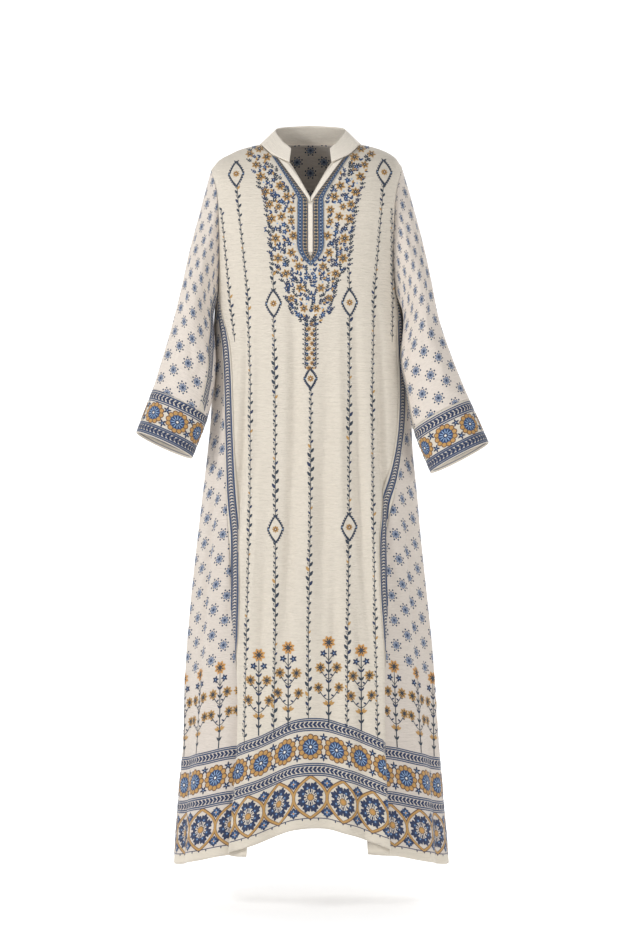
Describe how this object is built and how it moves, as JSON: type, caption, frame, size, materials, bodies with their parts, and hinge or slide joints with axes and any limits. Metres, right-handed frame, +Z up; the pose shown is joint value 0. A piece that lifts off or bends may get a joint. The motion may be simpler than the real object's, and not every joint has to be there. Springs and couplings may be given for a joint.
{
  "type": "jalabiya",
  "caption": "Long loose worn garment with a stand collar, V neck with a slit, long cuffed sleeves and flared side panels; open at neck, cuffs and hem.",
  "frame": {"origin": "between the shoulders at the base of the neck, where the wearer holds the garment up", "axes": "+Z up, the front faces -Y, +X to the wearer's left"},
  "size_m": [0.693, 0.3346, 1.4811],
  "materials": {
    "cream_crepe": "matt slubbed crepe, cream, embroidered",
    "printed_crepe": "matt crepe, pale greige with small blue rosettes",
    "border": "matt crepe with a blue and gold border",
    "plain_crepe": "matt crepe, plain cream",
    "blue_band": "embroidered blue and gold band"
  },
  "bodies": {
    "root": {"front_panel": "cream_crepe", "back_panel": "printed_crepe", "side_panel_right": "printed_crepe", "side_panel_left": "printed_crepe", "sleeve_right": "printed_crepe", "sleeve_left": "printed_crepe", "cuff_right": "border", "cuff_left": "border", "collar": "plain_crepe", "neck_facing_right": "plain_crepe", "neck_facing_left": "plain_crepe", "slit_strip": "plain_crepe", "neck_braid_right": "blue_band", "neck_braid_left": "blue_band", "seam_band_right": "blue_band", "seam_band_left": "blue_band", "sleeve_band_right": "blue_band", "sleeve_band_left": "blue_band"}
  },
  "joints": []
}
